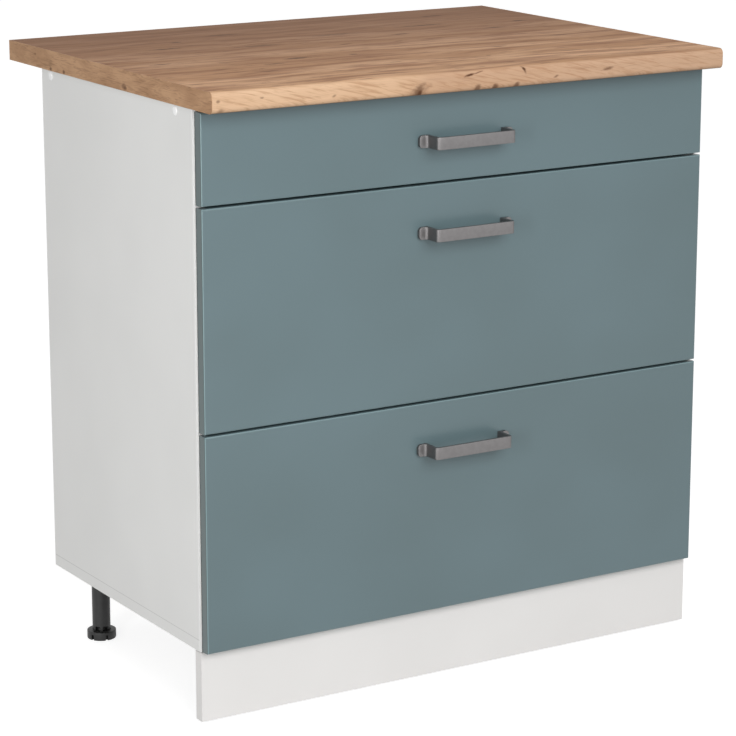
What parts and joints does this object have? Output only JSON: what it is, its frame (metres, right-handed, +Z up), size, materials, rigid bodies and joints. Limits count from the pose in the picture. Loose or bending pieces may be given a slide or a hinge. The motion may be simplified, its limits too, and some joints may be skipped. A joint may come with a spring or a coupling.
{
  "type": "base cabinet with drawers",
  "caption": "Kitchen base cabinet on adjustable legs with a deep wood-decor worktop, flush drawer fronts on roller runners and a clip-on plinth.",
  "frame": {"origin": "on the floor, under the middle of the worktop", "axes": "+X to the right along the front, +Y back towards the wall, +Z up"},
  "size_m": [0.804, 0.6, 0.85],
  "materials": {
    "oak_worktop": "oak decor laminate, fine pore texture, satin",
    "oak_end_band": "oak decor edge band, satin",
    "white_melamine": "white melamine-faced board, fine pearl texture",
    "back_board": "white-faced thin fibreboard",
    "blue_grey_foil": "foil-wrapped fibreboard, satin",
    "nickel_handle": "die-cast, satin nickel plated",
    "zinc_steel": "zinc-plated steel",
    "white_steel": "white epoxy powder coat",
    "white_nylon": "moulded nylon",
    "white_cap": "moulded white plastic",
    "black_plastic": "moulded black plastic, fine grain",
    "grey_rubber": "soft clear-grey rubber"
  },
  "bodies": {
    "cabinet": {"back_panel": "back_board", "bottom_panel": "white_melamine", "bottom_runners": "white_steel", "front_rail": "white_melamine", "legs": "black_plastic", "middle_runners": "white_steel", "plinth": "white_melamine", "plinth_clips": "black_plastic", "rear_rail": "white_melamine", "side_left": "white_melamine", "side_right": "white_melamine", "top_runners": "white_steel", "worktop": "oak_worktop", "worktop_end_bands": "oak_end_band"},
    "bottom_drawer": {"bottom_drawer_back": "white_melamine", "bottom_drawer_brackets": "zinc_steel", "bottom_drawer_floor": "white_melamine", "bottom_drawer_front": "blue_grey_foil", "bottom_drawer_side_left": "white_steel", "bottom_drawer_side_right": "white_steel", "bottom_handle": "nickel_handle"},
    "bottom_front_rollers": {"bottom_front_rollers": "white_nylon"},
    "bottom_rear_rollers": {"bottom_rear_rollers": "white_nylon"},
    "middle_drawer": {"middle_drawer_back": "white_melamine", "middle_drawer_brackets": "zinc_steel", "middle_drawer_floor": "white_melamine", "middle_drawer_front": "blue_grey_foil", "middle_drawer_side_left": "white_steel", "middle_drawer_side_right": "white_steel", "middle_handle": "nickel_handle"},
    "middle_front_rollers": {"middle_front_rollers": "white_nylon"},
    "middle_rear_rollers": {"middle_rear_rollers": "white_nylon"},
    "top_drawer": {"top_drawer_back": "white_melamine", "top_drawer_brackets": "zinc_steel", "top_drawer_floor": "white_melamine", "top_drawer_front": "blue_grey_foil", "top_drawer_side_left": "white_steel", "top_drawer_side_right": "white_steel", "top_handle": "nickel_handle"},
    "top_front_rollers": {"top_front_rollers": "white_nylon"},
    "top_rear_rollers": {"top_rear_rollers": "white_nylon"},
    "foot_front_left": {"foot_front_left": "black_plastic"},
    "foot_front_right": {"foot_front_right": "black_plastic"},
    "foot_rear_left": {"foot_rear_left": "black_plastic"},
    "foot_rear_right": {"foot_rear_right": "black_plastic"}
  },
  "joints": [
    {"name": "bottom_drawer_slide", "type": "slide", "parent": "cabinet", "child": "bottom_drawer", "axis": [0, -1, 0], "range_m": [0, 0.3]},
    {"name": "bottom_front_rollers_spin", "type": "hinge", "parent": "cabinet", "child": "bottom_front_rollers", "pos_m": [0, -0.2241, 0.1345], "axis": [1, 0, 0], "continuous": true},
    {"name": "bottom_rear_rollers_spin", "type": "hinge", "parent": "bottom_drawer", "child": "bottom_rear_rollers", "pos_m": [0, 0.1398, 0.1305], "axis": [1, 0, 0], "continuous": true},
    {"name": "middle_drawer_slide", "type": "slide", "parent": "cabinet", "child": "middle_drawer", "axis": [0, -1, 0], "range_m": [0, 0.3]},
    {"name": "middle_front_rollers_spin", "type": "hinge", "parent": "cabinet", "child": "middle_front_rollers", "pos_m": [0, -0.2241, 0.4335], "axis": [1, 0, 0], "continuous": true},
    {"name": "middle_rear_rollers_spin", "type": "hinge", "parent": "middle_drawer", "child": "middle_rear_rollers", "pos_m": [0, 0.1398, 0.4295], "axis": [1, 0, 0], "continuous": true},
    {"name": "top_drawer_slide", "type": "slide", "parent": "cabinet", "child": "top_drawer", "axis": [0, -1, 0], "range_m": [0, 0.3]},
    {"name": "top_front_rollers_spin", "type": "hinge", "parent": "cabinet", "child": "top_front_rollers", "pos_m": [0, -0.2241, 0.7325], "axis": [1, 0, 0], "continuous": true},
    {"name": "top_rear_rollers_spin", "type": "hinge", "parent": "top_drawer", "child": "top_rear_rollers", "pos_m": [0, 0.1398, 0.7285], "axis": [1, 0, 0], "continuous": true},
    {"name": "foot_front_left_height", "type": "slide", "parent": "cabinet", "child": "foot_front_left", "axis": [0, 0, -1], "range_m": [0, 0.02]},
    {"name": "foot_front_right_height", "type": "slide", "parent": "cabinet", "child": "foot_front_right", "axis": [0, 0, -1], "range_m": [0, 0.02]},
    {"name": "foot_rear_left_height", "type": "slide", "parent": "cabinet", "child": "foot_rear_left", "axis": [0, 0, -1], "range_m": [0, 0.02]},
    {"name": "foot_rear_right_height", "type": "slide", "parent": "cabinet", "child": "foot_rear_right", "axis": [0, 0, -1], "range_m": [0, 0.02]}
  ],
  "couplings": [
    {"joint": "bottom_front_rollers_spin", "follows": "bottom_drawer_slide", "rad_per_m": 83.333},
    {"joint": "bottom_rear_rollers_spin", "follows": "bottom_drawer_slide", "rad_per_m": 76.923},
    {"joint": "middle_front_rollers_spin", "follows": "middle_drawer_slide", "rad_per_m": 83.333},
    {"joint": "middle_rear_rollers_spin", "follows": "middle_drawer_slide", "rad_per_m": 76.923},
    {"joint": "top_front_rollers_spin", "follows": "top_drawer_slide", "rad_per_m": 83.333},
    {"joint": "top_rear_rollers_spin", "follows": "top_drawer_slide", "rad_per_m": 76.923}
  ]
}
